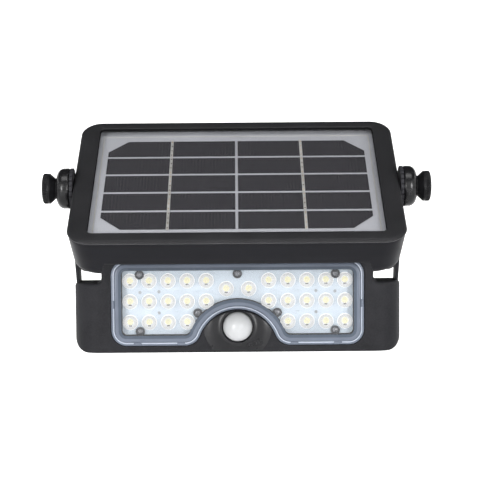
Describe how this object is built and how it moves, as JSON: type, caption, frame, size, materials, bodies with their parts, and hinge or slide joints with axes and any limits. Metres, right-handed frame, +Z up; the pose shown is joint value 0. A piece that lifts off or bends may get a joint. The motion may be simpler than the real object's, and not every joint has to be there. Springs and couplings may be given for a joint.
{
  "type": "solar flood light",
  "caption": "Wall-mounted solar flood light: a tilting solar panel and a motion-sensing lamp head share one knob-clamped hinge on a wall bracket.",
  "frame": {"origin": "centre of the wall plate's rear face, on the wall", "axes": "+X along the hinge line and the object's width, +Y into the wall, +Z up; the lamp faces -Y"},
  "size_m": [0.2344, 0.1329, 0.1418],
  "materials": {
    "bracket_plastic": "fine textured black moulding",
    "head_plastic": "fine grained black moulding",
    "surround_plastic": "smooth black moulding",
    "washer_steel": "plain zinc-plated steel",
    "knob_plastic": "satin black moulding with a fluted rim",
    "screw_steel": "blackened steel",
    "seal_rubber": "soft black silicone",
    "button_rubber": "soft black silicone",
    "clear_lens": "clear polycarbonate, slightly blue, with a stepped rim",
    "led_optics": "clear acrylic domes on a thin sheet",
    "white_board": "white solder resist with pale yellow emitters",
    "milky_dome": "milky polyethylene",
    "green_board": "green circuit board",
    "sensor_metal": "plain can",
    "black_plastic": "plain black moulding",
    "battery_sleeve": "plain blue shrink sleeve",
    "lead_sleeve": "red insulated lead",
    "bezel_plastic": "satin black moulding",
    "shell_plastic": "satin black moulding",
    "panel_glass": "clear cover sheet",
    "backing_sheet": "light grey sheet",
    "solar_cell": "dark monocrystalline silicon",
    "brass": "plain turned brass"
  },
  "bodies": {
    "bracket": {"wall_bracket": "bracket_plastic", "knob_washer_left": "washer_steel", "knob_washer_right": "washer_steel"},
    "head": {"head_housing": "head_plastic", "rear_cover": "head_plastic", "cover_screw_1": "screw_steel", "cover_screw_2": "screw_steel", "cover_screw_3": "screw_steel", "cover_screw_4": "screw_steel", "cover_gasket": "seal_rubber", "lens_cover": "clear_lens", "lens_gasket": "seal_rubber", "led_board": "white_board", "lens_array": "led_optics", "board_screw_1": "screw_steel", "board_screw_2": "screw_steel", "board_screw_3": "screw_steel", "board_screw_4": "screw_steel", "board_screw_5": "screw_steel", "board_screw_6": "screw_steel", "board_screw_7": "screw_steel", "sensor_surround": "surround_plastic", "sensor_dome": "milky_dome", "sensor_board": "green_board", "sensor_can": "sensor_metal", "control_board": "green_board", "battery_holder": "black_plastic", "battery_cell_left": "battery_sleeve", "battery_cell_right": "battery_sleeve", "battery_lead": "lead_sleeve"},
    "panel": {"panel_bezel": "bezel_plastic", "panel_shell": "shell_plastic", "panel_glass": "panel_glass", "panel_seal": "seal_rubber", "panel_backing": "backing_sheet", "cell_strip_left_1": "solar_cell", "cell_strip_left_2": "solar_cell", "cell_strip_left_3": "solar_cell", "cell_strip_left_4": "solar_cell", "cell_strip_left_5": "solar_cell", "cell_strip_right_1": "solar_cell", "cell_strip_right_2": "solar_cell", "cell_strip_right_3": "solar_cell", "cell_strip_right_4": "solar_cell", "cell_strip_right_5": "solar_cell", "junction_block": "black_plastic", "clamp_nut_left": "brass", "clamp_nut_right": "brass", "shell_screw_1": "screw_steel", "shell_screw_2": "screw_steel", "shell_screw_3": "screw_steel", "shell_screw_4": "screw_steel"},
    "knob_left_body": {"knob_left": "knob_plastic", "clamp_stud_left": "washer_steel"},
    "knob_right_body": {"knob_right": "knob_plastic", "clamp_stud_right": "washer_steel"},
    "button": {"power_button": "button_rubber"}
  },
  "joints": [
    {"name": "head_tilt", "type": "hinge", "parent": "bracket", "child": "head", "pos_m": [0, -0.075, 0.027], "axis": [1, 0, 0], "range_deg": [-60, 18]},
    {"name": "panel_tilt", "type": "hinge", "parent": "head", "child": "panel", "pos_m": [0, -0.075, 0.027], "axis": [1, 0, 0], "range_deg": [-42, 38]},
    {"name": "knob_left_turn", "type": "hinge", "parent": "bracket", "child": "knob_left_body", "pos_m": [0, -0.075, 0.027], "axis": [-1, 0, 0], "range_deg": [0, 360]},
    {"name": "knob_right_turn", "type": "hinge", "parent": "bracket", "child": "knob_right_body", "pos_m": [0, -0.075, 0.027], "axis": [1, 0, 0], "range_deg": [0, 360]},
    {"name": "button_press", "type": "slide", "parent": "head", "child": "button", "axis": [0, -1, 0], "range_m": [0, 0.001], "stiffness_N_per_m": 600}
  ]
}
